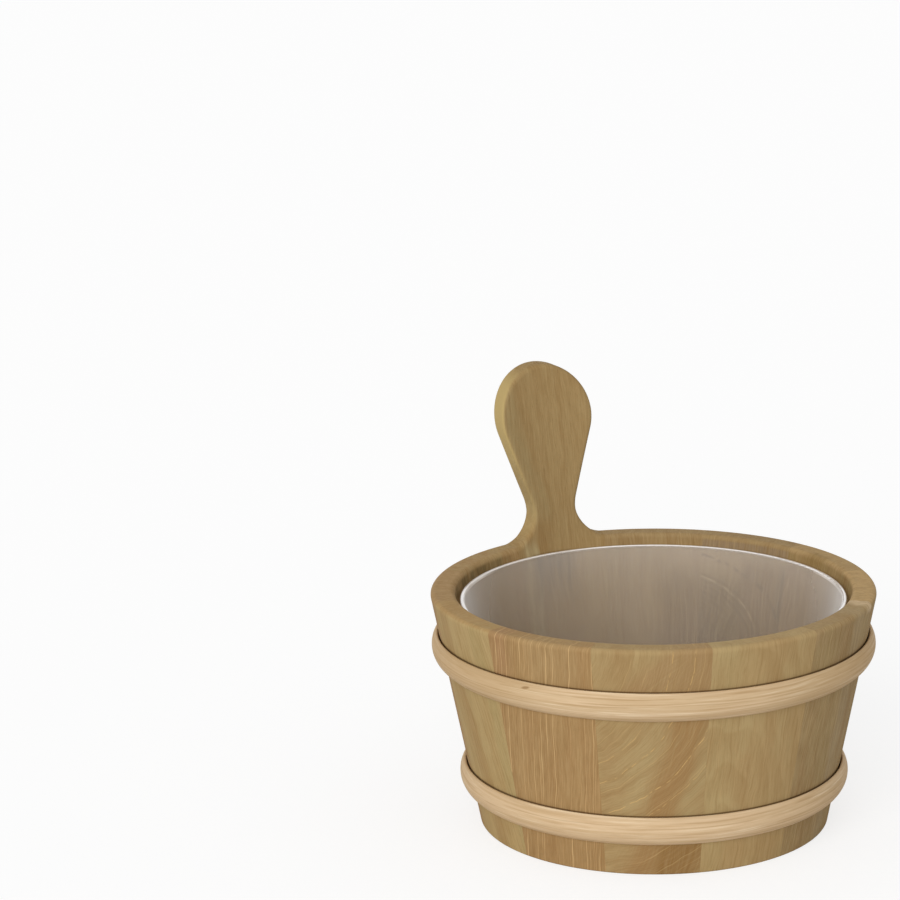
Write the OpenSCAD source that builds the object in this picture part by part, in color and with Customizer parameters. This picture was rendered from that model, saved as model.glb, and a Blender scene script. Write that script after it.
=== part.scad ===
// Small coopered sauna bucket: twelve hardwood staves set on edge in a ring,
// one of them running on upwards as a paddle shaped handle, two half round
// wooden hoops, a round bottom board let into a groove and a clear liner.
// The axis of the bucket is Z, it stands on the plane z = 0 and the handle
// stave is on the +Y side. Sizes are in millimetres.

/* [Body] */
// Outer radius of the ring of staves at the rim
rim_radius = 140.5; // [80:0.5:220]
// Outer radius of the ring of staves at the foot
base_radius = 110.3; // [60:0.2:200]
// Height of the staves from foot to rim
body_height = 151.7; // [80:0.2:320]
// Thickness of the staves, measured level
stave_thickness = 15.5; // [10:0.5:28]
// Rounding of the outer edge of the rim and the handle
rim_rounding = 3; // [1:0.25:4]
// Rounding of the inner edge of the rim and the handle
inner_rounding = 3.6; // [1:0.1:5.5]
// Rounding of the two edges the staves stand on
foot_rounding = 1.5; // [0.5:0.25:4]

/* [Handle] */
// Radius of the round head of the handle
head_radius = 33.2; // [24:0.2:50]
// Height of the head's centre above the rim
head_rise = 81; // [50:0.5:140]
// Width of the neck at its narrowest
neck_width = 31; // [20:0.5:60]
// Height of the narrowest part of the neck above the rim
neck_rise = 19.3; // [10:0.2:40]
// Radius of the hollow curve above the neck
neck_hollow = 25.5; // [10:1:60]
// Fullness of the flare that runs out into the rim, 2 is a plain ellipse
flare_fullness = 1.7; // [1.2:0.05:2.4]

/* [Bottom] */
// Height of the underside of the bottom board
chime_height = 12; // [6:0.5:30]
// Thickness of the bottom board
board_thickness = 10; // [6:0.5:20]
// Depth of the groove that holds the bottom board
groove_depth = 5; // [3:0.25:8]

/* [Hoops] */
// Height of each hoop along the wall
hoop_height = 19.3; // [8:0.1:30]
// Thickness of each hoop
hoop_proud = 5.9; // [4:0.1:12]
// Rounding of the upper and lower edge of a hoop
hoop_edge = 0.9; // [0.5:0.1:3]
// Gap between a hoop's upper edge and the wall, which it grips at its lower edge
hoop_gap = 0.8; // [0:0.1:2]
// How far the middle of the upper hoop lies below the rim
upper_hoop_drop = 36.7; // [15:0.1:100]
// How far the middle of the lower hoop lies above the foot
lower_hoop_rise = 31.1; // [12:0.1:100]

/* [Liner] */
// Gap between the liner's lip and the staves
lip_gap = 2.2; // [0.5:0.1:5]
// How far the liner's lip lies below the rim
liner_drop = 6.5; // [0:0.5:30]
// Width of the liner's lip
lip_width = 2.6; // [2:0.1:10]
// Thickness of the liner's lip
lip_thickness = 1.6; // [1:0.1:1.9]
// Thickness of the liner's wall
liner_wall = 1.6; // [0.8:0.1:4]
// Thickness of the liner's floor
liner_floor = 1.8; // [0.8:0.1:4]
// Rounding between the liner's wall and floor, inside
liner_corner = 8; // [2:0.5:20]

/* [Hidden] */
// Fits between the pieces
glue_line = 0.04;
liner_fit = 0.05;
hoop_fit = 0.05;
board_fit_round = 0.3;
board_fit_face = 0.05;
board_fit_over = 0.2;

// Slant of the wall, the same inside and outside
rise_per_height = (rim_radius - base_radius) / body_height;
slant = atan(rise_per_height);
function outer_radius(z) = base_radius + rise_per_height * z;
function inner_radius(z) = outer_radius(z) - stave_thickness;

// Staves, the handle stave among them: the pieces at the end are named for this many
stave_count = 12;
stave_pitch = 360 / stave_count;
glue_angle = glue_line / rim_radius * 180 / PI;
handle_angle = 90;

// Groove for the bottom board
board_foot = chime_height + board_fit_face;
board_top = board_foot + board_thickness;
groove_top = board_top + board_fit_over;
groove_radius = inner_radius(chime_height) + groove_depth;

// Liner
liner_top = body_height - liner_drop;
liner_foot = board_top + liner_fit;
liner_radius = inner_radius(liner_top) - lip_gap;
lip_inner = liner_radius - lip_width;
lip_half = lip_thickness / 2;
function liner_outer(z) = lip_inner + liner_wall - rise_per_height * (liner_top - z);
function liner_inner(z) = liner_outer(z) - liner_wall;

// Smoothness
$fn = 144;
fillet_steps = 5;
foot_steps = 2;
flare_steps = 9;
hollow_steps = 4;
straight_steps = 3;
head_steps = 15;
across_steps = 12;

// Part of the ring shape that a cutting body reaches past a face
past = 5;

// Colours
stave_tint = [0.63, 0.52, 0.35];
hoop_tint = [0.85, 0.74, 0.57];
board_tint = [0.70, 0.60, 0.43];
liner_tint = [0.86, 0.87, 0.88, 0.5];

// Centres of the four edge roundings of a stave in its radius and height plane
rim_out = [outer_radius(body_height - rim_rounding) - rim_rounding / cos(slant),
           body_height - rim_rounding];
rim_in = [inner_radius(body_height - inner_rounding) + inner_rounding / cos(slant),
          body_height - inner_rounding];
foot_out = [outer_radius(foot_rounding) - foot_rounding / cos(slant), foot_rounding];
foot_in = [inner_radius(foot_rounding) + foot_rounding / cos(slant), foot_rounding];

// Point on a rounding, seen from its centre at the given angle
function around(centre, radius, a) = centre + radius * [cos(a), sin(a)];

// Section of a plain stave, with the groove for the bottom board
module stave_section() {
    difference() {
        union() {
            polygon([around(foot_in, foot_rounding, 180 - slant),
                     around(foot_in, foot_rounding, 270),
                     around(foot_out, foot_rounding, 270),
                     around(foot_out, foot_rounding, -slant),
                     around(rim_out, rim_rounding, -slant),
                     around(rim_out, rim_rounding, 90),
                     around(rim_in, inner_rounding, 90),
                     around(rim_in, inner_rounding, 180 - slant)]);
            translate(rim_out) circle(rim_rounding);
            translate(rim_in) circle(inner_rounding);
            translate(foot_out) circle(foot_rounding);
            translate(foot_in) circle(foot_rounding);
        }
        translate([groove_radius - groove_depth - past, chime_height])
            square([groove_depth + past, groove_top - chime_height]);
    }
}

module plain_stave(place) {
    rotate([0, 0, handle_angle + (place - 0.5) * stave_pitch + glue_angle / 2])
        rotate_extrude(angle = stave_pitch - glue_angle)
            stave_section();
}

// Outline of the handle, its right half from the joint to the top of the head,
// as points across and up. The flare springs from the joint at the rim.
joint_angle = (stave_pitch - glue_angle) / 2;
rim_middle = rim_radius - stave_thickness / 2;
flare_foot = rim_middle * sin(joint_angle);
neck_half = neck_width / 2;
neck_z = body_height + neck_rise;
head_z = body_height + head_rise;
hollow_centre = [neck_half + neck_hollow, neck_z];
head_centre = [0, head_z];
head_to_hollow = hollow_centre - head_centre;
// Direction square to the straight side that touches the hollow and the head
side_turn = atan2(head_to_hollow[1], head_to_hollow[0])
            + acos((head_radius + neck_hollow) / norm(head_to_hollow));
straight_foot = around(hollow_centre, -neck_hollow, side_turn);
straight_top = around(head_centre, head_radius, side_turn);

function flare_point(t) = [
    flare_foot - (flare_foot - neck_half) * pow(sin(90 * t), 2 / flare_fullness),
    neck_z - neck_rise * pow(cos(90 * t), 2 / flare_fullness)];

half_outline = concat(
    [for (i = [0 : flare_steps - 1]) flare_point(i / flare_steps)],
    [for (i = [0 : hollow_steps - 1])
        around(hollow_centre, -neck_hollow, side_turn * i / hollow_steps)],
    [for (i = [0 : straight_steps - 1])
        straight_foot + (straight_top - straight_foot) * i / straight_steps],
    [for (i = [0 : head_steps])
        around(head_centre, head_radius, side_turn + (90 - side_turn) * i / head_steps)]);
top_index = len(half_outline) - 1;
last_index = 2 * top_index;

// Directions out of the wood, square to the outline
function unit(v) = v / norm(v);
function half_normal(i) = i == 0 ? [0, 1] : i == top_index ? [0, 1] :
    let (run = half_outline[i + 1] - half_outline[i - 1]) unit([run[1], -run[0]]);
half_normals = [for (i = [0 : top_index]) half_normal(i)];

// The rounded edge of the rim, from the inner wall to the outer wall, as
// depth from the inner wall and distance in from the outline
edge_arcs = concat(
    [for (k = [0 : fillet_steps])
        around(rim_in, inner_rounding, 180 - slant - (90 - slant) * k / fillet_steps)],
    [for (k = [0 : fillet_steps])
        around(rim_out, rim_rounding, 90 - (90 + slant) * k / fillet_steps)]);
edge = [for (p = edge_arcs) [p[0] - inner_radius(p[1]), body_height - p[1]]];
edge_last = len(edge) - 1;

// Point of the swept edge, given outline index on the right half and edge step.
// At the rim the side runs with the joint, higher up it is cut straight back.
function swept(i, k) =
    let (flat = half_outline[i] - edge[k][1] * half_normals[i],
         radius = inner_radius(flat[1]) + edge[k][0],
         share = max(0, 1 - (half_outline[i][1] - body_height) / rim_rounding),
         x = flat[0] * (1 + share * (radius / rim_middle - 1)))
    [x, sqrt(radius * radius - x * x), flat[1]];
function swept_all(i, k) =
    let (p = swept(i <= top_index ? i : last_index - i, k))
    i <= top_index ? p : [-p[0], p[1], p[2]];

// Turn from the middle of the stave to a swept point, and a point on the wall
function turn_of(p) = atan2(p[0], p[1]);
function on_wall(radius, turn, z) = [radius * sin(turn), radius * cos(turn), z];

// Rows of the body below the rim, from the inner wall round the foot
low_rows = concat(
    [[inner_radius(groove_top), groove_top],
     [groove_radius, groove_top],
     [groove_radius, chime_height],
     [inner_radius(chime_height), chime_height]],
    [for (k = [0 : foot_steps])
        around(foot_in, foot_rounding, 180 - slant + (90 + slant) * k / foot_steps)],
    [for (k = [0 : foot_steps])
        around(foot_out, foot_rounding, 270 + (90 - slant) * k / foot_steps)]);
low_last = len(low_rows) - 1;

// All the points of the handle stave: the swept edge, the two faces inside it
// and the rows of the body
edge_points = [for (k = [0 : edge_last]) for (i = [0 : last_index]) swept_all(i, k)];
function face_row(k, i) =
    let (p = swept(i, k), radius = norm([p[0], p[1]]), turn = turn_of(p))
    [for (j = [1 : across_steps - 1])
        on_wall(radius, turn * (1 - 2 * j / across_steps), p[2])];
inner_points = [for (i = [0 : top_index - 1]) for (p = face_row(0, i)) p];
outer_points = [for (i = [0 : top_index - 1]) for (p = face_row(edge_last, i)) p];
low_points = [for (row = low_rows) for (j = [0 : across_steps])
    on_wall(row[0], joint_angle * (1 - 2 * j / across_steps), row[1])];
inner_start = len(edge_points);
outer_start = inner_start + len(inner_points);
low_start = outer_start + len(outer_points);

// Index of a point by its place
function at_edge(k, i) = k * (last_index + 1) + i;
function at_face(k, i, j) =
    j == 0 || i == top_index ? at_edge(k, i) :
    j == across_steps ? at_edge(k, last_index - i) :
    (k == 0 ? inner_start : outer_start) + i * (across_steps - 1) + j - 1;
function at_low(row, j) = low_start + row * (across_steps + 1) + j;
function quad(a, b, c, d) = [[a, b, c], [a, c, d]];

edge_faces = [for (k = [0 : edge_last - 1]) for (i = [0 : last_index - 1])
    for (f = quad(at_edge(k, i), at_edge(k, i + 1),
                  at_edge(k + 1, i + 1), at_edge(k + 1, i))) f];
inner_faces = [for (i = [0 : top_index - 2]) for (j = [0 : across_steps - 1])
    for (f = quad(at_face(0, i, j), at_face(0, i, j + 1),
                  at_face(0, i + 1, j + 1), at_face(0, i + 1, j))) f];
inner_tip = [for (j = [0 : across_steps - 1])
    [at_face(0, top_index - 1, j), at_face(0, top_index - 1, j + 1), at_edge(0, top_index)]];
outer_faces = [for (i = [0 : top_index - 2]) for (j = [0 : across_steps - 1])
    for (f = quad(at_face(edge_last, i + 1, j), at_face(edge_last, i + 1, j + 1),
                  at_face(edge_last, i, j + 1), at_face(edge_last, i, j))) f];
outer_tip = [for (j = [0 : across_steps - 1])
    [at_edge(edge_last, top_index), at_face(edge_last, top_index - 1, j + 1),
     at_face(edge_last, top_index - 1, j)]];
low_faces = [for (row = [0 : low_last - 1]) for (j = [0 : across_steps - 1])
    for (f = quad(at_low(row + 1, j), at_low(row + 1, j + 1),
                  at_low(row, j + 1), at_low(row, j))) f];
inner_join = [for (j = [0 : across_steps - 1])
    for (f = quad(at_low(0, j), at_low(0, j + 1),
                  at_face(0, 0, j + 1), at_face(0, 0, j))) f];
outer_join = [for (j = [0 : across_steps - 1])
    for (f = quad(at_face(edge_last, 0, j), at_face(edge_last, 0, j + 1),
                  at_low(low_last, j + 1), at_low(low_last, j))) f];
right_joint = concat([for (k = [0 : edge_last]) at_edge(k, 0)],
                     [for (row = [low_last : -1 : 0]) at_low(row, 0)]);
left_joint = concat([for (k = [edge_last : -1 : 0]) at_edge(k, last_index)],
                    [for (row = [0 : low_last]) at_low(row, across_steps)]);

module handle_stave() {
    color(stave_tint)
        polyhedron(points = concat(edge_points, inner_points, outer_points, low_points),
                   faces = concat(edge_faces, inner_faces, inner_tip, outer_faces,
                                  outer_tip, low_faces, inner_join, outer_join,
                                  [right_joint, left_joint]),
                   convexity = 8);
}

module stave_1() { color(stave_tint) plain_stave(1); }
module stave_2() { color(stave_tint) plain_stave(2); }
module stave_3() { color(stave_tint) plain_stave(3); }
module stave_4() { color(stave_tint) plain_stave(4); }
module stave_5() { color(stave_tint) plain_stave(5); }
module stave_6() { color(stave_tint) plain_stave(6); }
module stave_7() { color(stave_tint) plain_stave(7); }
module stave_8() { color(stave_tint) plain_stave(8); }
module stave_9() { color(stave_tint) plain_stave(9); }
module stave_10() { color(stave_tint) plain_stave(10); }
module stave_11() { color(stave_tint) plain_stave(11); }

// The bottom board lies on the lower face of the groove, which is the chime height
module bottom_board() {
    color(board_tint)
        translate([0, 0, board_foot])
            cylinder(r = groove_radius - board_fit_round, h = board_thickness);
}

// Section of a hoop, upright: a flat back, a round front and rounded edges
hoop_reach = hoop_height / 2 - hoop_edge;
front_radius = (pow(hoop_proud - hoop_edge, 2) + pow(hoop_reach, 2) - pow(hoop_edge, 2))
               / (2 * (hoop_proud - 2 * hoop_edge));
front_centre = hoop_proud - front_radius;
front_turn = atan2(hoop_reach, hoop_edge - front_centre);
front_cut = around([front_centre, 0], front_radius + past, front_turn);

module hoop_section() {
    union() {
        intersection() {
            translate([front_centre, 0]) circle(front_radius);
            polygon([[0, -hoop_reach], [hoop_edge, -hoop_reach],
                     [front_cut[0], -front_cut[1]], [front_radius + past, 0],
                     front_cut, [hoop_edge, hoop_reach], [0, hoop_reach]]);
        }
        translate([hoop_edge, hoop_reach]) circle(hoop_edge);
        translate([hoop_edge, -hoop_reach]) circle(hoop_edge);
    }
}

hoop_lean = slant + atan(hoop_gap / hoop_height);
hoop_below = hoop_height / 2 * cos(slant);

module hoop(height) {
    rotate_extrude()
        translate([outer_radius(height - hoop_below) + hoop_fit / cos(slant),
                   height - hoop_below])
            rotate([0, 0, -hoop_lean])
                translate([0, hoop_height / 2])
                    hoop_section();
}

module upper_hoop() { color(hoop_tint) hoop(body_height - upper_hoop_drop); }
module lower_hoop() { color(hoop_tint) hoop(lower_hoop_rise); }

// Half section of a cup with a slanting wall and a rounded corner at the floor
module cup_section(radius_at_foot, foot, top, corner) {
    centre = [radius_at_foot + rise_per_height * corner - corner / cos(slant), foot + corner];
    union() {
        polygon([[0, foot], around(centre, corner, 270), around(centre, corner, -slant),
                 [radius_at_foot + rise_per_height * (top - foot), top], [0, top]]);
        translate(centre) circle(corner);
    }
}

// The liner stands loose on the bottom board, clear of the staves
module liner() {
    color(liner_tint)
        rotate_extrude()
            union() {
                difference() {
                    cup_section(liner_outer(liner_foot), liner_foot, liner_top - lip_half,
                                liner_corner + liner_wall);
                    cup_section(liner_inner(liner_foot + liner_floor),
                                liner_foot + liner_floor, liner_top + past, liner_corner);
                }
                translate([lip_inner + lip_half, liner_top - lip_thickness])
                    square([lip_width - lip_thickness, lip_thickness]);
                translate([lip_inner + lip_half, liner_top - lip_half]) circle(lip_half);
                translate([liner_radius - lip_half, liner_top - lip_half]) circle(lip_half);
            }
}

handle_stave();
stave_1();
stave_2();
stave_3();
stave_4();
stave_5();
stave_6();
stave_7();
stave_8();
stave_9();
stave_10();
stave_11();
bottom_board();
upper_hoop();
lower_hoop();
liner();
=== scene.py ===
from math import acos, atan, atan2, cos, degrees, hypot, pi, radians, sin, sqrt, tan

import bpy
import numpy as np
from mathutils import Matrix, Vector


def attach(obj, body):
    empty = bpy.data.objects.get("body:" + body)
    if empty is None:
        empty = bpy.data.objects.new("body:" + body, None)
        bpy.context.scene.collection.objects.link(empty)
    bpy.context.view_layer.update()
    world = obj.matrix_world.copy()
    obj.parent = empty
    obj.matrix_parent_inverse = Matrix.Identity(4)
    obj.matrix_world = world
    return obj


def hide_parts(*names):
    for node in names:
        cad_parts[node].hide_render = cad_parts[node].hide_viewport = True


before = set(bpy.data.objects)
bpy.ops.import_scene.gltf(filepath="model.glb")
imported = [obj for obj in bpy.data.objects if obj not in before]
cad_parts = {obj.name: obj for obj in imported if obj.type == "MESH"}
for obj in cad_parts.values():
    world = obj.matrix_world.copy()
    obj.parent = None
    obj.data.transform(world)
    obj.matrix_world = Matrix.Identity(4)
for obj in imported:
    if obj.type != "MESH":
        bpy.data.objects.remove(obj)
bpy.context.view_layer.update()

MM = 0.001

# Sizes of the CAD part, in millimetres
RIM_RADIUS, BASE_RADIUS, BODY_HEIGHT, THICKNESS = 140.5, 110.3, 151.7, 15.5
RIM_ROUNDING, INNER_ROUNDING, FOOT_ROUNDING = 3, 3.6, 1.5
HEAD_RADIUS, HEAD_RISE, NECK_WIDTH, NECK_RISE, NECK_HOLLOW = 33.2, 81, 31, 19.3, 25.5
FLARE_FULLNESS = 1.7
CHIME_HEIGHT, GROOVE_TOP, GROOVE_DEPTH, GLUE_LINE = 12, 22.25, 5, 0.04
LINER_TOP = 145.2
UPPER_HOOP, LOWER_HOOP, HOOP_HEIGHT = 115, 31.1, 19.3
HOOP_PROUD, HOOP_EDGE, HOOP_GAP, HOOP_FIT = 5.9, 0.9, 0.8, 0.05
STAVE_TURN = 30
STAVE_ANGLE = {"handle_stave": 90}
STAVE_ANGLE.update({f"stave_{k}": 90 + STAVE_TURN * k for k in range(1, 12)})
RISE = (RIM_RADIUS - BASE_RADIUS) / BODY_HEIGHT
SLANT = atan(RISE)
HALF_STAVE = (STAVE_TURN - degrees(GLUE_LINE / RIM_RADIUS)) / 2
WALL_MIDDLE = RIM_RADIUS - THICKNESS / 2

# Steps in which the pieces made here are divided
FILLET_STEPS, FOOT_STEPS, ACROSS_STEPS = 10, 5, 28
FLARE_STEPS, HOLLOW_STEPS, STRAIGHT_STEPS, HEAD_STEPS = 30, 10, 8, 44
HOOP_STEPS, HOOP_EDGE_STEPS, HOOP_FRONT_STEPS = 288, 10, 28
SHARP_ANGLE = 38

# The place in a stave's wall and in a hoop from which the coordinates of the wood count
WOOD_RADIUS, WOOD_HEIGHT, HOOP_WOOD_DEPTH = 125, 75, 3
# Radii at the foot between which a stave's inner face begins, and the painted shade line behind a
# hoop ends
INSIDE_FROM, INSIDE_TO = 101, 98
GAP_SHADE_FROM, GAP_SHADE_TO = BASE_RADIUS - 9, BASE_RADIUS - 6

# The photograph's camera, found from the rim, hoop and foot ellipses: degrees and metres
VIEW_TURN, VIEW_HEIGHT, VIEW_DISTANCE, AIM_HEIGHT = -29.67, 17.9, 2.2631, 0.0755
VIEW_PITCH, VIEW_YAW, VIEW_ROLL = 13.83, -3.353, -1.044
SENSOR_WIDTH, FOCAL_LENGTH, CLIP_START, CLIP_END = 36, 142.16, 0.05, 60

# The white room, which gives less light than what the camera sees of it, and its floor
AMBIENT = 0.56
FLOOR_RADIUS, FLOOR_STEPS = 14, 64
FLOOR_LIT, FLOOR_SEEN = (0.85, 0.85, 0.85, 1), (0.92, 0.92, 0.92, 1)
FLOOR_GLOW, FLOOR_GLOW_SHARE = 1.13, 0.65
WHITE = (1, 1, 1, 1)


def outer_radius(z):
    return BASE_RADIUS + RISE * z


def inner_radius(z):
    return outer_radius(z) - THICKNESS


def linear(colour):
    """Three numbers as they look on a screen, 0 to 255, brought to linear light."""
    shares = [c / 255 for c in colour]
    return [s / 12.92 if s <= 0.04045 else ((s + 0.055) / 1.055) ** 2.4 for s in shares] + [1]


class Value:
    """A number that a node gives, with the usual arithmetic."""

    def __init__(self, tree, socket):
        self.tree, self.socket = tree, socket

    def __add__(self, other):
        return self.tree.math("ADD", self, other)

    def __sub__(self, other):
        return self.tree.math("SUBTRACT", self, other)

    def __mul__(self, other):
        return self.tree.math("MULTIPLY", self, other)

    __radd__ = __add__
    __rmul__ = __mul__

    def __rsub__(self, other):
        return self.tree.math("SUBTRACT", other, self)


class Tree:
    """The nodes of a material or a world, made by plain calls."""

    def __init__(self, owner):
        owner.use_nodes = True
        self.owner, self.colour = owner, None
        self.nodes, self.links = owner.node_tree.nodes, owner.node_tree.links
        self.nodes.clear()

    def put(self, socket, value):
        if isinstance(value, Value):
            self.links.new(value.socket, socket)
        elif isinstance(value, (list, tuple)) and any(isinstance(v, Value) for v in value):
            self.put(socket, self.make("ShaderNodeCombineXYZ", dict(enumerate(value))))
        elif value is not None:
            socket.default_value = value

    def make(self, kind, inputs, output=0, **settings):
        node = self.nodes.new(kind)
        for name, setting in settings.items():
            setattr(node, name, setting)
        for key, value in inputs.items():
            self.put(node.inputs[key], value)
        return Value(self, node.outputs[output])

    def math(self, operation, a, b=None, c=None):
        return self.make("ShaderNodeMath", {0: a, 1: b, 2: c}, operation=operation)

    def ramp(self, value, low, high, smooth=True):
        """0 below low and 1 above high; low may be the larger one."""
        return self.make("ShaderNodeMapRange", {"Value": value, "From Min": low, "From Max": high},
                         "Result", interpolation_type="SMOOTHSTEP" if smooth else "LINEAR",
                         clamp=True)

    def ramp_apart(self, offset, low, high):
        """The same for the distance from zero on either side."""
        return self.ramp(self.math("ABSOLUTE", offset), low, high)

    def within(self, mask, value, limits):
        """The mask, cut by one ramp after the other."""
        for low, high in limits:
            mask = mask * self.ramp(value, low, high)
        return mask

    def noise(self, vector, detail=2, roughness=0.5):
        return self.make("ShaderNodeTexNoise", {"Vector": vector, "Scale": 1, "Detail": detail,
                                                "Roughness": roughness}, "Fac")

    def chance(self, cell):
        """A random number from 0 to 1 for each whole number."""
        return self.make("ShaderNodeTexWhiteNoise", {"W": cell}, "Value", noise_dimensions="1D")

    def lines(self, p, q, gap, half, length, seed):
        """Thin lines at uneven distances across p, each of its own strength, broken along q."""
        steps = p * (1 / gap) + seed
        cell = self.math("FLOOR", steps)
        middle = self.chance(cell) * 0.6 + 0.2
        off = self.math("ABSOLUTE", self.math("FRACT", steps) - middle) * gap
        broken = self.noise([cell * 7.31, q * (1 / length), seed], roughness=0.7)
        strength = self.ramp(self.chance(cell + 71.5), 0.0, 0.8)
        return self.ramp(off, half * 1.8, half * 0.4) * self.ramp(broken, 0.36, 0.60) * strength

    def rings(self, steps, rise, fall):
        """A ring for each whole step, which darkens slowly and ends sharply."""
        phase = self.math("FRACT", steps)
        return self.ramp(phase, 0.0, rise) * self.ramp(phase, 1.0, fall)

    def blend(self, share, a, b):
        """The colour a, going over to b as share goes from 0 to 1. Three numbers are a colour
        as it looks on a screen, and four are linear light."""
        node = self.nodes.new("ShaderNodeMix")
        node.data_type = "RGBA"
        for place, value in ((0, share), (6, a), (7, b)):
            as_seen = isinstance(value, tuple) and len(value) == 3
            self.put(node.inputs[place], linear(value) if as_seen else value)
        return Value(self, node.outputs[2])

    def lay(self, share, colour):
        """Lay a further colour, by this share, over what is there."""
        self.colour = self.blend(share, self.colour, colour)

    def place(self):
        """The place on the object, in millimetres."""
        split = self.nodes.new("ShaderNodeSeparateXYZ")
        self.links.new(self.nodes.new("ShaderNodeTexCoord").outputs["Object"], split.inputs[0])
        return [Value(self, split.outputs[i]) * 1000 for i in range(3)]

    def end(self, shader, output="ShaderNodeOutputMaterial"):
        self.links.new(shader.socket, self.nodes.new(output).inputs["Surface"])
        return self.owner

    def end_wood(self, grain, roughness, height, depth, specular):
        """Dull wood: its least roughness and the rise with the grain, and bumps of this depth."""
        least, rise = roughness
        rough = self.ramp(grain, 0.3, 0.75, False) * rise + least
        bump = self.make("ShaderNodeBump", {"Height": height, "Distance": depth * MM,
                                            "Strength": 1.0})
        return self.end(self.make("ShaderNodeBsdfPrincipled", {
            "Base Color": self.colour, "Roughness": rough, "Normal": bump,
            "Specular IOR Level": specular, "IOR": 1.45}))


def new_material(name, kind=Tree):
    return kind(bpy.data.materials.new(name))


class StaveWood(Tree):
    """Wood of one stave. u runs to the right across its outer face, w outwards and z up."""

    def start(self, degrees_round):
        self.seed = degrees_round
        angle = radians(degrees_round)
        x, y, self.z = self.place()
        self.u = y * cos(angle) - x * sin(angle)
        self.w = x * cos(angle) + y * sin(angle) - WOOD_RADIUS
        self.inside = self.ramp(self.foot_radius(), INSIDE_FROM, INSIDE_TO)
        self.wander = self.noise(self.spread(self.u, self.z, 26, 60, 3)) - 0.5
        self.ripple = self.noise(self.spread(self.u, self.z, 7, 16, 7), detail=1) - 0.5

    def foot_radius(self):
        """The radius that the place has when it is brought down the slant to the foot."""
        return self.w + WOOD_RADIUS - self.z * RISE

    def spread(self, p, q, across, along, shift, deep=12):
        """Coordinates for noise of this size; the shift keeps one use of it from another."""
        return [p * (1 / across) + (self.seed * 1.37 + shift), self.w * (1 / deep) + shift * 0.61,
                q * (1 / along) - self.seed * 0.71]

    def round_centre(self, centre, stretch=1):
        """Coordinates across and along lines that run round a centre in the stave's face."""
        du, dz = self.u - centre[0], (self.z - centre[1]) * (1 / stretch)
        across = self.math("SQRT", du * du + dz * dz)
        turn = self.math("ARCTAN2", dz, du)
        return across, turn * hypot(centre[0], (WOOD_HEIGHT - centre[1]) / stretch)

    def straight(self, lean):
        """The same for straight lines, which lean to the right by this angle as they go up."""
        a, high = radians(lean), self.z - WOOD_HEIGHT
        return self.u * cos(a) - high * sin(a), high * cos(a) + self.u * sin(a)

    def on_side(self, mask, inside):
        """The mask on the inner face, or for False on all else, or for None everywhere."""
        if inside is None:
            return mask
        return mask * (self.inside if inside else 1 - self.inside)

    def lay_ground(self, look):
        """Two colours in large clouds, and a third in bands along the lines."""
        p, q = (self.round_centre(look["swirl"]) if "swirl" in look
                else self.straight(look.get("lean", 0)))
        p = p + self.wander * look.get("wander", 6) + self.ripple * look.get("ripple", 0.8)
        self.p, self.q = p, q
        clouds = self.noise(self.spread(self.u, self.z, 20, 34, 11))
        self.colour = self.blend(self.ramp(clouds, 0.34, 0.66), look["ground"], look["second"])
        self.broad = self.noise(self.spread(p, q, 9, 150, 17))
        self.lay(self.ramp(self.broad, 0.40, 0.72) * look.get("broad", 0.7), look["third"])

    def lay_patch(self, colour, at, width, lean=0, soft=4, grain=2.2, share=0.8, heights=(),
                  inside=None):
        """An upright, streaked patch of this width, at this place across the face."""
        high = self.z - WOOD_HEIGHT
        edge = self.u - high * tan(radians(lean)) + self.wander * 10 + self.ripple * 3 - at
        mask = self.ramp_apart(edge, width / 2 + soft, max(width / 2 - soft, 0))
        mask = self.on_side(self.within(mask, self.z, heights), inside)
        streaks = self.ramp(self.noise(self.spread(edge, self.z, grain, 60, 23)), 0.25, 0.6)
        self.lay(mask * (streaks * 0.5 + 0.5) * share, colour)

    def lay_rings(self, gap, colour, share, wander=5, centre=None, stretch=1, inside=None,
                  reach=()):
        """Growth rings along the lines, or round a centre and within a reach of it."""
        across, along = self.round_centre(centre, stretch) if centre else (self.p, self.q)
        steps = (across + self.wander * wander + self.ripple * 1.2) * (1 / gap)
        mask = self.within(self.on_side(self.rings(steps, 0.78, 0.86), inside), across, reach)
        uneven = self.noise(self.spread(across, along, gap * 1.4, 50, 29), detail=1)
        self.lay(mask * (self.ramp(uneven, 0.3, 0.7) * 0.7 + 0.3) * share, colour)

    def lay_fibres(self, look):
        """Fine fibres and pores, then thin lines, all along the lines of the wood."""
        p, q, strength = self.p, self.q, look.get("fibre", 0.35)
        self.fibre = self.noise(self.spread(p, q, 0.75, 26, 31, 3), detail=3, roughness=0.6)
        self.lay(self.ramp(self.fibre, 0.44, 0.72) * strength, look["dark"])
        self.lay(self.ramp(self.fibre, 0.52, 0.30) * strength * 0.8, look["light"])
        self.pore = self.noise(self.spread(p, q, 0.45, 7, 37, 1.5), roughness=0.7)
        self.lay(self.ramp(self.pore, 0.60, 0.74) * look.get("pores", 0.3), look["dark"])
        for gap, half, length, share, colour in look.get("lines", ()):
            self.lay(self.lines(p, q, gap, half, length, self.seed * 0.37 + gap) * share, colour)

    def lay_vein(self, centre, radius, stretch=1, half=0.45, share=0.7, colour=(206, 170, 112),
                 inside=None):
        """One broken line round a centre."""
        across, _ = self.round_centre(centre, stretch)
        off = across + self.wander * 7 + self.ripple * 3 - radius
        mark = self.on_side(self.ramp_apart(off, half, 0.0), inside)
        broken = self.noise(self.spread(self.u, self.z, 5, 5, 47 + radius))
        self.lay(mark * self.ramp(broken, 0.40, 0.56) * share, colour)

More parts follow.
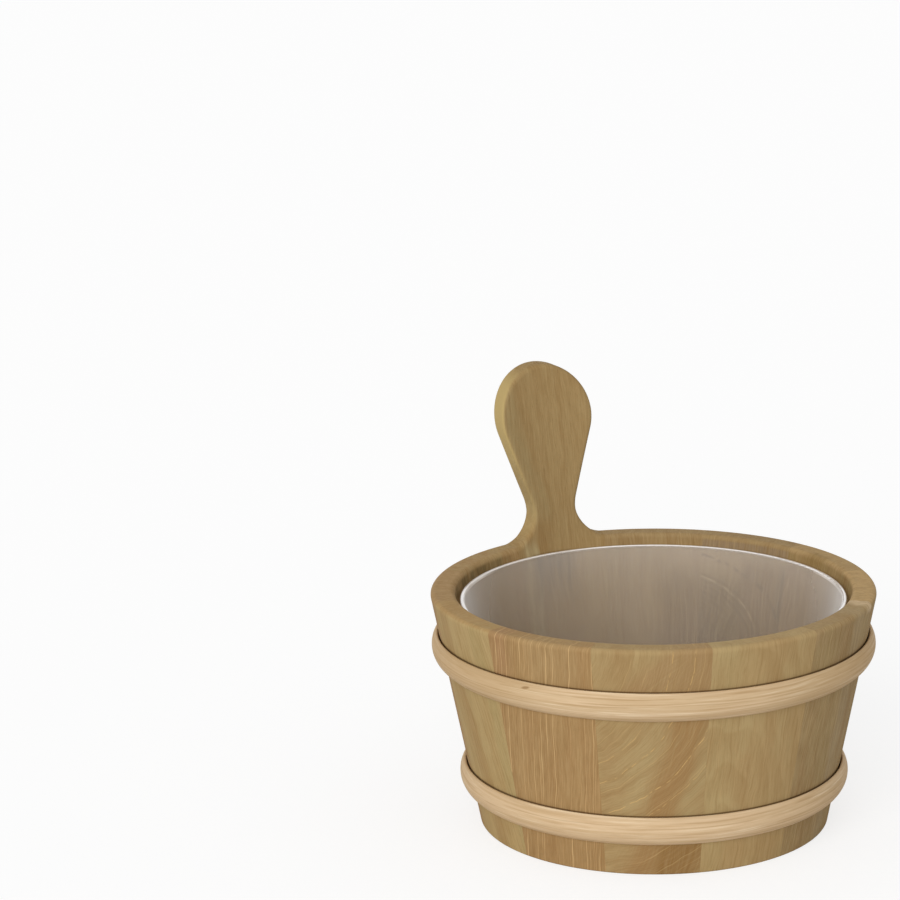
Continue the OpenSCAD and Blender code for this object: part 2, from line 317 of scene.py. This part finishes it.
    def lay_side_highlight(self, colour):
        """Painted highlight on the narrow left face of the handle, weaker towards the neck and
        ending at the rim.
        """
        normal = self.nodes.new("ShaderNodeSeparateXYZ")
        geometry = self.nodes.new("ShaderNodeNewGeometry")
        self.links.new(geometry.outputs["Normal"], normal.inputs[0])
        side = self.ramp(Value(self, normal.outputs[0]) * -1, 0.25, 0.85)
        side = side * (self.ramp(self.z, 186, 222) * 0.75 + 0.25) * self.ramp(self.z, 152, 158)
        self.lay(side * 0.9, colour)

    def lay_worn_rim(self):
        """Slightly worn, paler edge along the rim."""
        worn = self.ramp(self.z, BODY_HEIGHT - 3.5, BODY_HEIGHT - 0.6)
        self.lay(worn * 0.12, (196, 168, 124))

    def lay_hoop_gap_shade(self):
        """Painted shade: a dark line in the narrow gap behind the upper edge of each hoop."""
        for hoop in (UPPER_HOOP, LOWER_HOOP):
            top = hoop + HOOP_HEIGHT / 2 * cos(SLANT)
            gap = self.within(self.ramp(self.z, top + 0.3, top), self.z, [(top - 2.5, top - 1.5)])
            gap = self.within(gap, self.foot_radius(), [(GAP_SHADE_FROM, GAP_SHADE_TO)])
            self.lay(gap * 0.65, (84, 60, 34))


def stave_wood(name, look):
    t = new_material("wood_" + name, StaveWood)
    t.start(STAVE_ANGLE[name])
    t.lay_ground(look)
    for patch in look.get("patches", ()):
        t.lay_patch(**patch)
    for rings in look.get("rings", ()):
        t.lay_rings(**rings)
    t.lay_fibres(look)
    for vein in look.get("veins", ()):
        t.lay_vein(**vein)
    # The handle's side colour is a painted highlight on its left face
    if "side" in look:
        t.lay_side_highlight(look["side"])
    else:
        t.lay_worn_rim()
    t.lay_hoop_gap_shade()
    height = t.fibre * 0.5 + t.ramp(t.pore, 0.56, 0.76) * -0.5 + t.broad * 0.4
    return t.end_wood(t.fibre, (0.56, 0.16), height, 0.10, 0.06)


BROWN = (160, 126, 82)
PLAIN = dict(ground=(166, 142, 98), second=(170, 142, 98), third=BROWN,
             dark=(128, 98, 58), light=(190, 162, 118))

# Thin lines: distance, half width, length, share and colour of each kind
PALE_LINES = [(3.9, 0.20, 22, 0.6, (206, 172, 120)), (2.3, 0.16, 16, 0.35, (198, 162, 112))]
FAINT_LINES = [(5.3, 0.25, 30, 0.35, (190, 160, 112)), (3.1, 0.3, 34, 0.35, (140, 108, 66))]

# Patches that several staves have: painted shade on the inner edge to the left of the
# handle, the inner face above the liner, with painted shade there on some staves, and the rim's
# top
SHADED_EDGE = dict(width=70, soft=14, grain=7, colour=(84, 72, 42), share=0.7, inside=True,
                   heights=[(140, 145), (150, 147.5)])
ABOVE_LINER = dict(at=0, width=90, inside=True, heights=[(143, 145), (150, 148)])
# Painted shade on the inner face between the liner and the rim
SHADE_ABOVE_LINER = dict(ABOVE_LINER, grain=7, colour=(116, 100, 60), share=0.35)
RIM_TOP = dict(at=0, width=90, grain=7)

# The centres of the rings in stave_5, and inside in stave_10
SWIRL = (-72, 150)
ARCHES = dict(centre=(44, 80), stretch=0.76, inside=True)

LOOKS = {
    "handle_stave": dict(
        PLAIN, ground=(166, 140, 96), second=(164, 137, 93), third=(154, 124, 80),
        # side: the colour of the painted highlight on the handle's left face
        side=(188, 164, 110), fibre=0.24, wander=5,
        lines=[(6.0, 0.4, 60, 0.30, (138, 108, 68)), (4.1, 0.3, 40, 0.22, (184, 158, 112))],
        patches=[dict(at=-10, width=15, lean=13, soft=5, colour=(164, 146, 104), share=0.5,
                      heights=[(160, 172)]),
                 dict(at=22, width=11, soft=1.5, colour=(196, 184, 142), share=0.55,
                      inside=True, heights=[(158, 146)]),
                 dict(at=5, width=32, colour=(70, 50, 30), share=0.85, inside=True,
                      heights=[(104, 138), (146, 143)])],
        rings=[dict(gap=8, colour=(144, 114, 72), share=0.30, wander=8)]),
    "stave_1": dict(
        PLAIN, lean=2, lines=FAINT_LINES, patches=[dict(SHADED_EDGE, at=15)],
        rings=[dict(gap=9, colour=BROWN, share=0.4, wander=10)]),
    "stave_2": dict(
        PLAIN, ground=(172, 141, 98), second=(166, 134, 92), lean=-3, lines=PALE_LINES,
        patches=[dict(SHADED_EDGE, at=-15)]),
    "stave_3": dict(
        PLAIN, ground=(181, 156, 109), second=(177, 151, 104), third=(168, 139, 92),
        lean=-9, wander=4, broad=0.6, fibre=0.25, pores=0.15, lines=FAINT_LINES,
        patches=[dict(at=27, width=10, lean=-3, soft=3, colour=(171, 150, 103)),
                 dict(at=-6, width=12, lean=-9, soft=5, colour=(160, 128, 84), share=0.6),
                 dict(at=0, width=90, colour=(172, 136, 86), share=0.7, heights=[(149.5, 151)])]),
    "stave_4": dict(
        PLAIN, ground=(169, 137, 93), second=(163, 131, 88), third=(157, 122, 80),
        lean=6, wander=4, ripple=1.0, broad=0.5, fibre=0.30, pores=0.2,
        lines=[(4.9, 0.17, 80, 0.85, (222, 186, 134)), (3.1, 0.14, 44, 0.5, (208, 170, 120)),
               (5.3, 0.3, 44, 0.35, (138, 102, 62))],
        patches=[dict(at=-28, width=14, soft=5, colour=(163, 124, 88), share=0.7,
                      heights=[(112, 122)]),
                 dict(at=10, width=34, soft=6, colour=(170, 142, 100), share=0.5,
                      heights=[(120, 127)])]),
    "stave_5": dict(
        PLAIN, ground=(173, 148, 104), second=(168, 141, 98), third=(160, 130, 87),
        swirl=SWIRL, wander=9, ripple=1.6, broad=0.55, fibre=0.20, pores=0.15,
        lines=[(8.5, 0.22, 34, 0.40, (198, 168, 116)), (5.4, 0.3, 24, 0.28, (146, 114, 72))],
        rings=[dict(centre=SWIRL, gap=9, colour=(154, 123, 80), share=0.30, wander=12)],
        patches=[dict(at=15, width=25, lean=20, soft=8, grain=1.3, colour=(158, 124, 81),
                      share=0.95, heights=[(118, 108)]),
                 dict(at=-4, width=14, lean=14, soft=7, colour=(178, 157, 113), share=0.5),
                 dict(at=31, width=11, lean=16, soft=5, colour=(176, 157, 113), share=0.5,
                      heights=[(26, 34)]),
                 dict(at=-40, width=52, lean=45, soft=8, grain=1.5, colour=(162, 130, 90),
                      heights=[(104, 116)]),
                 dict(at=32, width=28, lean=14, soft=5, grain=1.3, colour=(143, 109, 65),
                      share=0.95, heights=[(28, 18)])],
        veins=[dict(centre=SWIRL, radius=radius, share=share)
               for radius, share in ((117, 0.9), (97, 0.7), (84, 0.6), (129, 0.6))]),
    "stave_6": dict(
        PLAIN, ground=(180, 156, 111), second=(177, 150, 105), third=(170, 141, 97),
        wander=9, ripple=2, broad=0.65, fibre=0.20, pores=0.15, lines=FAINT_LINES,
        rings=[dict(centre=(-20, 20), stretch=2.2, gap=12, colour=(154, 124, 80), share=0.35,
                    wander=16)],
        patches=[dict(at=-24, width=16, soft=6, colour=(172, 150, 105), share=0.6),
                 dict(at=12, width=18, lean=-6, soft=8, colour=(168, 138, 94), share=0.5)]),
    "stave_7": dict(
        PLAIN, ground=(163, 140, 99), second=(161, 136, 97), third=(151, 123, 84),
        wander=3, fibre=0.4, lines=FAINT_LINES,
        patches=[dict(at=12, width=13, colour=(166, 146, 112), share=0.75),
                 dict(at=34, width=16, soft=5, colour=(218, 192, 154), share=0.95,
                      heights=[(145, 149)])]),
    "stave_8": dict(
        PLAIN, ground=(157, 132, 88), second=(159, 132, 88), third=(150, 117, 74),
        lean=1, lines=FAINT_LINES,
        patches=[SHADE_ABOVE_LINER,
                 dict(RIM_TOP, colour=(200, 166, 115), share=0.75, heights=[(149.6, 151.0)])]),
    "stave_9": dict(
        PLAIN, ground=(168, 141, 97), second=(165, 137, 94), third=(156, 126, 84),
        lean=-2, lines=FAINT_LINES,
        patches=[SHADE_ABOVE_LINER,
                 dict(RIM_TOP, colour=(182, 151, 102), share=0.5, heights=[(149.8, 151.2)]),
                 # Painted shade on the inner face: all of it below the liner's top, and a strip
                 # above the liner
                 dict(at=8, width=70, soft=6, colour=(118, 84, 50), inside=True,
                      heights=[(146, 140)]),
                 dict(at=5, width=18, soft=6, colour=(138, 112, 66), inside=True,
                      heights=[(143, 147)])]),
    "stave_10": dict(
        PLAIN, ground=(162, 137, 95), second=(158, 132, 91), third=(148, 120, 80),
        dark=(124, 95, 57), light=(176, 150, 108), lines=FAINT_LINES,
        rings=[dict(centre=(4, -40), stretch=3.2, gap=7, colour=(126, 98, 60), share=0.75,
                    wander=8, inside=False),
               dict(ARCHES, gap=4.5, colour=(84, 56, 28), share=0.7, wander=3,
                    reach=[(68, 58)])],
        patches=[dict(at=24, width=34, soft=8, lean=-14, colour=(88, 60, 32), inside=True,
                      heights=[(138, 112)]),
                 dict(at=-31, width=9, soft=3, colour=(76, 50, 26), share=0.9, inside=True,
                      heights=[(146, 130)]),
                 dict(at=-12, width=30, colour=(110, 76, 44), inside=True,
                      heights=[(146, 130)]),
                 dict(ABOVE_LINER, colour=(142, 122, 98), share=0.7)],
        veins=[dict(ARCHES, radius=78, half=2.2, colour=(80, 54, 28)),
               dict(ARCHES, radius=59, half=1.8, colour=(200, 178, 138), share=0.35)]),
    "stave_11": dict(
        PLAIN, ground=(164, 139, 97), second=(160, 134, 93), third=(150, 122, 82),
        dark=(126, 97, 59), light=(178, 152, 110), lean=3, lines=FAINT_LINES,
        patches=[dict(at=-20, width=32, soft=8, colour=(110, 80, 48), inside=True,
                      heights=[(138, 116)])],
        rings=[dict(gap=10, colour=(142, 113, 73), share=0.4, wander=9)]),
}


def hoop_wood(name, height, end_shade_share, knots):
    """Pale wood with its grain along the ring, and painted shade by a share in spans round it. A
    knot is so far along it and up its front.
    """
    t = new_material("wood_" + name)
    x, y, z = t.place()
    up, radius = z - height, outer_radius(height)
    # The two ends of the strip meet behind the handle in a slanting joint
    whole_turns = t.math("ARCTAN2", x * -1, y * -1) * (0.5 / pi)
    share = t.math("FRACT", whole_turns + up * 0.0016 + 0.5)
    turn = (share - 0.5) * (2 * pi)
    seam = t.ramp_apart(share - 0.5, 0.4994, 0.4998)
    reach = t.math("SQRT", x * x + y * y) - (radius + HOOP_WOOD_DEPTH)
    along = turn * radius

    def spread(across, length, shift):
        # The grain drifts slowly up and down
        drift = (t.math("SINE", turn * 2 + shift) * 1.2
                 + t.math("SINE", turn * 5 + shift * 2) * 0.5)
        return [(up + drift) * (1 / across) + shift, reach * (1 / across),
                along * (1 / length) + height]

    broad = t.noise(spread(4.5, 130, 5))
    bands = t.noise(spread(1.7, 60, 13), detail=3, roughness=0.6)
    drift = t.math("SINE", turn * 2 + 5) * 1.2 + t.noise(spread(9, 60, 31), detail=1) * 3
    thin = t.lines(up + drift + reach * 0.4, along, 2.3, 0.3, 42, height)
    hair = t.noise(spread(0.5, 16, 19), roughness=0.65)
    t.colour = t.blend(t.ramp(broad, 0.38, 0.62), (216, 188, 151), (207, 179, 141))
    t.lay(t.ramp(bands, 0.50, 0.66) * 0.5, (192, 160, 118))
    t.lay(t.ramp(bands, 0.46, 0.32) * 0.7, (234, 212, 178))
    t.lay(thin * 0.45, (166, 131, 88))
    t.lay(t.ramp(hair, 0.56, 0.74) * 0.35, (176, 143, 102))
    # Painted shade: the hoop darker in three wide spans round it, two of them towards its ends at
    # the sides, broken by the broad grain
    end_shade = t.ramp(t.math("COSINE", turn * 3 - 1.55) + broad * 0.8, 0.8, -0.5)
    t.lay(end_shade * end_shade_share, (176, 144, 98))
    for knot_along, knot_up in knots:
        across, away = (up - knot_up) * (1 / 0.9), (along - knot_along) * (1 / 2.4)
        knot = t.ramp(t.math("SQRT", across * across + away * away), 1.4, 0.5)
        t.lay(knot * 0.75, (146, 112, 72))
    t.lay(seam * 0.7, (104, 76, 44))
    bumps = bands * 0.6 + broad * 0.4 + hair * 0.4 + seam * -1
    return t.end_wood(bands, (0.54, 0.15), bumps, 0.08, 0.08)


def board_wood():
    """Bottom board, glued up from strips whose grain runs along X."""
    t = new_material("wood_board")
    x, y, z = t.place()
    strip_width, ring_gap = 46, 6.5
    strips = y * (1 / strip_width) + 0.5
    strip, in_strip = t.math("FLOOR", strips), t.math("FRACT", strips)

    def spread(across, length, shift):
        return [y * (1 / across) + strip * 17 + shift, z * (1 / 10),
                x * (1 / length) + strip * 5.3 + shift]

    broad = t.noise(spread(9, 130, 3))
    fine = t.noise(spread(0.9, 30, 9), detail=3, roughness=0.6)
    line = t.rings((y + broad * 26 + strip * 7) * (1 / ring_gap), 0.8, 0.88)
    tint = t.noise([strip * 3.1, 0.5, 0.5], detail=0)
    seam = t.ramp_apart(in_strip - 0.5, 0.490, 0.497)
    t.colour = t.blend(t.ramp(tint, 0.3, 0.7), (176, 148, 104), (190, 166, 122))
    t.lay(line * 0.4, (158, 124, 80))
    t.lay(t.ramp(fine, 0.5, 0.72) * 0.4, (146, 114, 72))
    t.lay(seam * 0.6, (112, 84, 50))
    return t.end_wood(fine, (0.55, 0.15), fine * 0.5 + seam * -1 + line * 0.2, 0.12, 0.35)


def liner_plastic():
    """Clear plastic, slightly milky, denser where it is seen along its wall, and at its lip;
    whiter at grazing angles and along its top seen edge-on, partly as painted reflection, and
    paler towards the top as painted light.
    """
    t = new_material("plastic_liner")
    x, y, z = t.place()
    radius = t.math("SQRT", x * x + y * y)
    turn = t.math("ARCTAN2", x, y * -1)
    facing = t.make("ShaderNodeLayerWeight", {"Blend": 0.5}, "Facing")
    # Grazing: denser milk where the wall is seen along it, and partly a painted reflection
    grazing = t.math("POWER", facing, 3.0)
    # Edge-on: the wall's top turns as white as the lip, partly denser milk and partly a painted
    # reflection
    edge_on = t.ramp(z, LINER_TOP - 2.0, LINER_TOP - 1.4) * t.ramp(facing, 0.40, 0.60)
    lip = t.math("MAXIMUM", t.ramp(z, LINER_TOP - 0.7, LINER_TOP - 0.2), edge_on)
    cloud = t.noise([x * 0.03, y * 0.03, z * 0.02])
    scuff = t.noise([turn * 40, z * 0.03, radius * 0.05], detail=1)
    high = t.ramp(z, 100, LINER_TOP, False)
    milk = scuff * 0.015 + 0.248 + high * high * 0.03 + grazing * (high * 0.3 + 0.45)
    t.colour = t.blend(t.ramp(cloud, 0.3, 0.7), (217, 203, 182), (223, 209, 190))
    # Painted light: paler towards the top, where more light reaches into the liner
    t.lay(high * high * 0.5, (244, 234, 222))
    # Painted reflection: the colour whiter at grazing angles
    t.lay(t.ramp(grazing, 0.07, 0.45, False), (250, 246, 242))
    t.lay(lip, (252, 246, 242))
    return t.end(t.make("ShaderNodeBsdfPrincipled", {
        "Base Color": t.colour, "Alpha": t.math("MINIMUM", milk + lip * 0.75, 1.0),
        "Roughness": t.ramp(scuff, 0.35, 0.7, False) * 0.05 + 0.19,
        "Specular IOR Level": 0.5, "IOR": 1.49,
        "Coat Weight": lip, "Coat IOR": 3.5, "Coat Roughness": 0.12}))


def around(centre, radius, angle):
    return np.array([centre[0] + radius * cos(radians(angle)),
                     centre[1] + radius * sin(radians(angle))])


def smooth_piece(name, points, faces):
    """A piece from points in millimetres, with smooth shading."""
    mesh = bpy.data.meshes.new(name)
    mesh.from_pydata([[c * MM for c in p] for p in points], [], faces)
    mesh.update()
    mesh.shade_smooth()
    mesh.set_sharp_from_angle(angle=radians(SHARP_ANGLE))
    piece = bpy.data.objects.new(name, mesh)
    bpy.context.scene.collection.objects.link(piece)
    return piece


def hoop_section():
    """The hoop's rounded front between its two edges, out from its back and up from its middle."""
    reach = HOOP_HEIGHT / 2 - HOOP_EDGE
    front_radius = (((HOOP_PROUD - HOOP_EDGE) ** 2 + reach ** 2 - HOOP_EDGE ** 2)
                    / (2 * (HOOP_PROUD - 2 * HOOP_EDGE)))
    front_centre = HOOP_PROUD - front_radius
    turn = degrees(atan2(reach, HOOP_EDGE - front_centre))
    section = [around((HOOP_EDGE, reach), HOOP_EDGE, 180 + (turn - 180) * k / HOOP_EDGE_STEPS)
               for k in range(HOOP_EDGE_STEPS)]
    section += [around((front_centre, 0), front_radius, turn - 2 * turn * k / HOOP_FRONT_STEPS)
                for k in range(HOOP_FRONT_STEPS)]
    section += [around((HOOP_EDGE, -reach), HOOP_EDGE, -turn - (180 - turn) * k / HOOP_EDGE_STEPS)
                for k in range(HOOP_EDGE_STEPS + 1)]
    return section


def hoop_ring(name, height):
    """A hoop's form as in the CAD part, in even steps."""
    lean, foot = SLANT + atan(HOOP_GAP / HOOP_HEIGHT), height - HOOP_HEIGHT / 2 * cos(SLANT)
    back = outer_radius(foot) + HOOP_FIT / cos(SLANT)
    outline = []
    for out, q in hoop_section():
        up = q + HOOP_HEIGHT / 2
        outline.append((back + out * cos(lean) + up * sin(lean),
                        foot - out * sin(lean) + up * cos(lean)))
    turns = [2 * pi * i / HOOP_STEPS for i in range(HOOP_STEPS)]
    points = [(r * cos(a), r * sin(a), z) for a in turns for r, z in outline]
    n = len(outline)
    faces = []
    for i in range(HOOP_STEPS):
        here, after = i * n, (i + 1) % HOOP_STEPS * n
        faces += [(here + k, here + (k + 1) % n, after + (k + 1) % n, after + k)
                  for k in range(n)]
    return smooth_piece(name + "_smooth", points, faces)


def handle_outline():
    """Right half of the handle's outline, from the joint at the rim by the flare, the hollow
    and the straight side to the top, and the direction outwards at each of its points."""
    flare_foot = WALL_MIDDLE * sin(radians(HALF_STAVE))
    neck_half, neck_z, head_z = NECK_WIDTH / 2, BODY_HEIGHT + NECK_RISE, BODY_HEIGHT + HEAD_RISE
    hollow_centre = (neck_half + NECK_HOLLOW, neck_z)
    span = (hollow_centre[0], neck_z - head_z)
    side = degrees(atan2(span[1], span[0]) + acos((HEAD_RADIUS + NECK_HOLLOW) / hypot(*span)))
    low = around(hollow_centre, -NECK_HOLLOW, side)
    high = around((0, head_z), HEAD_RADIUS, side)
    power = 2 / FLARE_FULLNESS
    outline = []
    for i in range(FLARE_STEPS):
        turn = pi / 2 * i / FLARE_STEPS
        outline.append(np.array([flare_foot - (flare_foot - neck_half) * sin(turn) ** power,
                                 neck_z - NECK_RISE * cos(turn) ** power]))
    outline += [around(hollow_centre, -NECK_HOLLOW, side * i / HOLLOW_STEPS)
                for i in range(HOLLOW_STEPS)]
    outline += [low + (high - low) * i / STRAIGHT_STEPS for i in range(STRAIGHT_STEPS)]
    outline += [around((0, head_z), HEAD_RADIUS, side + (90 - side) * i / HEAD_STEPS)
                for i in range(HEAD_STEPS + 1)]
    upright = np.array([0.0, 1.0])
    runs = [after - before for before, after in zip(outline, outline[2:])]
    normals = [np.array([run[1], -run[0]]) / np.linalg.norm(run) for run in runs]
    return outline, [upright] + normals + [upright]


def rim_section():
    """The rim's two roundings, as depth from the inner face and distance in from the outline."""
    slant = degrees(SLANT)
    inner = (inner_radius(BODY_HEIGHT - INNER_ROUNDING) + INNER_ROUNDING / cos(SLANT),
             BODY_HEIGHT - INNER_ROUNDING)
    outer = (outer_radius(BODY_HEIGHT - RIM_ROUNDING) - RIM_ROUNDING / cos(SLANT),
             BODY_HEIGHT - RIM_ROUNDING)
    steps = range(FILLET_STEPS + 1)
    arcs = [around(inner, INNER_ROUNDING, 180 - slant - (90 - slant) * k / FILLET_STEPS)
            for k in steps]
    arcs += [around(outer, RIM_ROUNDING, 90 - (90 + slant) * k / FILLET_STEPS) for k in steps]
    return [(p[0] - inner_radius(p[1]), BODY_HEIGHT - p[1]) for p in arcs]


def foot_section():
    """The groove and the foot with its two roundings, from the inner face to the outer one."""
    slant = degrees(SLANT)
    inner = (inner_radius(FOOT_ROUNDING) + FOOT_ROUNDING / cos(SLANT), FOOT_ROUNDING)
    outer = (outer_radius(FOOT_ROUNDING) - FOOT_ROUNDING / cos(SLANT), FOOT_ROUNDING)
    groove_radius = inner_radius(CHIME_HEIGHT) + GROOVE_DEPTH
    rows = [(inner_radius(GROOVE_TOP), GROOVE_TOP), (groove_radius, GROOVE_TOP),
            (groove_radius, CHIME_HEIGHT), (inner_radius(CHIME_HEIGHT), CHIME_HEIGHT)]
    steps = range(FOOT_STEPS + 1)
    rows += [tuple(around(inner, FOOT_ROUNDING, 180 - slant + (90 + slant) * k / FOOT_STEPS))
             for k in steps]
    rows += [tuple(around(outer, FOOT_ROUNDING, 270 + (90 - slant) * k / FOOT_STEPS))
             for k in steps]
    return rows


def handle_stave():
    """The handle stave's form as in the CAD part, in finer steps and with smooth shading."""
    outline, normals = handle_outline()
    edge, rows = rim_section(), foot_section()
    top = len(outline) - 1
    last = 2 * top
    points, faces = [], []

    def add(p):
        points.append(p)
        return len(points) - 1

    def swept(i, k):
        """Point k of the rim's section, at point i of the whole outline."""
        mirror = i > top
        i = last - i if mirror else i
        flat = outline[i] - edge[k][1] * normals[i]
        radius = inner_radius(flat[1]) + edge[k][0]
        share = max(0, 1 - (outline[i][1] - BODY_HEIGHT) / RIM_ROUNDING)
        x = flat[0] * (1 + share * (radius / WALL_MIDDLE - 1))
        return (-x if mirror else x, sqrt(radius * radius - x * x), flat[1])

    def band(lower, upper):
        """Faces between two rows of points."""
        for j in range(len(lower) - 1):
            faces.append((lower[j], lower[j + 1], upper[j + 1], upper[j]))

    # Rows of points round the edge, then across the two faces of the handle and of the body
    rim = [[add(swept(i, k)) for i in range(last + 1)] for k in range(len(edge))]
    back = len(edge) - 1
    face = {}
    for k in (0, back):
        for i in range(top):
            x, y, z = swept(i, k)
            radius, turn = hypot(x, y), atan2(x, y)
            row = [rim[k][i]]
            for j in range(1, ACROSS_STEPS):
                a = turn * (1 - 2 * j / ACROSS_STEPS)
                row.append(add((radius * sin(a), radius * cos(a), z)))
            face[k, i] = row + [rim[k][last - i]]
    turns = [radians(HALF_STAVE) * (1 - 2 * j / ACROSS_STEPS) for j in range(ACROSS_STEPS + 1)]
    body = [[add((radius * sin(a), radius * cos(a), z)) for a in turns] for radius, z in rows]

    for k in range(back):
        band(rim[k], rim[k + 1])
    for i in range(top - 1):
        band(face[0, i], face[0, i + 1])
        band(face[back, i + 1], face[back, i])
    for row in range(len(rows) - 1):
        band(body[row + 1], body[row])
    band(body[0], face[0, 0])
    band(face[back, 0], body[-1])
    inner_row, outer_row = face[0, top - 1], face[back, top - 1]
    for j in range(ACROSS_STEPS):
        faces.append((inner_row[j], inner_row[j + 1], rim[0][top]))
        faces.append((rim[back][top], outer_row[j + 1], outer_row[j]))
    faces.append([ring[0] for ring in rim] + [row[0] for row in reversed(body)])
    faces.append([ring[last] for ring in reversed(rim)] + [row[-1] for row in body])
    return smooth_piece("handle_stave_smooth", points, [tuple(reversed(f)) for f in faces])


def put_camera():
    spot = Vector((0, -VIEW_DISTANCE * cos(radians(VIEW_HEIGHT)),
                   AIM_HEIGHT + VIEW_DISTANCE * sin(radians(VIEW_HEIGHT))))
    pitch, yaw, roll = radians(VIEW_PITCH), radians(VIEW_YAW), radians(VIEW_ROLL)
    forward = Vector((sin(yaw) * cos(pitch), cos(yaw) * cos(pitch), -sin(pitch)))
    right = Vector((cos(yaw), -sin(yaw), 0))
    up = right.cross(forward)
    right_rolled = right * cos(roll) + up * sin(roll)
    up_rolled = up * cos(roll) - right * sin(roll)
    matrix = Matrix.Identity(4)
    for row in range(3):
        matrix[row][0], matrix[row][1] = right_rolled[row], up_rolled[row]
        matrix[row][2], matrix[row][3] = -forward[row], spot[row]
    data = bpy.data.cameras.new("camera")
    data.sensor_width, data.lens = SENSOR_WIDTH, FOCAL_LENGTH
    data.clip_start, data.clip_end = CLIP_START, CLIP_END
    camera = bpy.data.objects.new("camera", data)
    bpy.context.scene.collection.objects.link(camera)
    camera.matrix_world = Matrix.Rotation(radians(VIEW_TURN), 4, "Z") @ matrix
    bpy.context.scene.camera = camera


def put_sun(name, azimuth, elevation, strength, spread):
    """A sun this high, and this far to the right of the photograph's camera as seen from the
    object, both in degrees."""
    data = bpy.data.lights.new(name, "SUN")
    data.energy, data.angle = strength, radians(spread)
    lamp = bpy.data.objects.new(name, data)
    lamp.visible_glossy = False
    bpy.context.scene.collection.objects.link(lamp)
    a, e = radians(VIEW_TURN + azimuth), radians(elevation)
    towards = Vector((sin(a) * cos(e), -cos(a) * cos(e), sin(e)))
    lamp.rotation_euler = towards.to_track_quat("Z", "Y").to_euler()


def put_world():
    """A white room, at full strength for rays from the camera, mirrors and glass."""
    world = bpy.data.worlds.new("room")
    bpy.context.scene.world = world
    t = Tree(world)
    path = t.nodes.new("ShaderNodeLightPath")
    rays = ("Is Camera Ray", "Is Glossy Ray", "Is Transmission Ray")
    camera, glossy, through = (Value(t, path.outputs[ray]) for ray in rays)
    seen = t.math("MAXIMUM", t.math("MAXIMUM", camera, glossy), through)
    strength = t.math("MULTIPLY_ADD", seen, 1.0 - AMBIENT, AMBIENT)
    background = t.make("ShaderNodeBackground", {"Color": WHITE, "Strength": strength})
    t.end(background, "ShaderNodeOutputWorld")


def put_floor():
    """White paper, which glows a little where the camera sees it."""
    t = new_material("floor_paper")
    seen = Value(t, t.nodes.new("ShaderNodeLightPath").outputs["Is Camera Ray"])
    diffuse = t.make("ShaderNodeBsdfDiffuse", {"Color": t.blend(seen, FLOOR_LIT, FLOOR_SEEN)})
    glow = t.make("ShaderNodeEmission", {"Color": WHITE, "Strength": FLOOR_GLOW})
    mixed = t.make("ShaderNodeMixShader", {0: seen * FLOOR_GLOW_SHARE, 1: diffuse, 2: glow})
    mesh = bpy.data.meshes.new("floor")
    turns = [2 * pi * i / FLOOR_STEPS for i in range(FLOOR_STEPS)]
    mesh.from_pydata([(FLOOR_RADIUS * cos(a), FLOOR_RADIUS * sin(a), 0) for a in turns], [],
                     [tuple(range(FLOOR_STEPS))])
    mesh.materials.append(t.end(mixed))
    floor = bpy.data.objects.new("floor", mesh)
    bpy.context.scene.collection.objects.link(floor)


def dress(node, material):
    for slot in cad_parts[node].material_slots:
        slot.material = material


for name, look in LOOKS.items():
    if name != "handle_stave":
        dress(name, stave_wood(name, look))
dress("bottom_board", board_wood())
dress("liner", liner_plastic())
handle = handle_stave()
handle.data.materials.append(stave_wood("handle_stave", LOOKS["handle_stave"]))
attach(handle, "root")
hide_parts("handle_stave")
# Each hoop's name, height, share of painted shade and knots
for name, height, end_shade_share, knots in (("upper_hoop", UPPER_HOOP, 0.45, [(155.4, 6.25)]),
                                        ("lower_hoop", LOWER_HOOP, 0.12, [])):
    ring = hoop_ring(name, height)
    ring.data.materials.append(hoop_wood(name, height, end_shade_share, knots))
    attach(ring, "root")
    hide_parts(name)

put_camera()
put_sun("key_light", azimuth=-18, elevation=22, strength=1.62, spread=44)
put_world()
put_floor()
bpy.context.scene.view_settings.view_transform = "Standard"
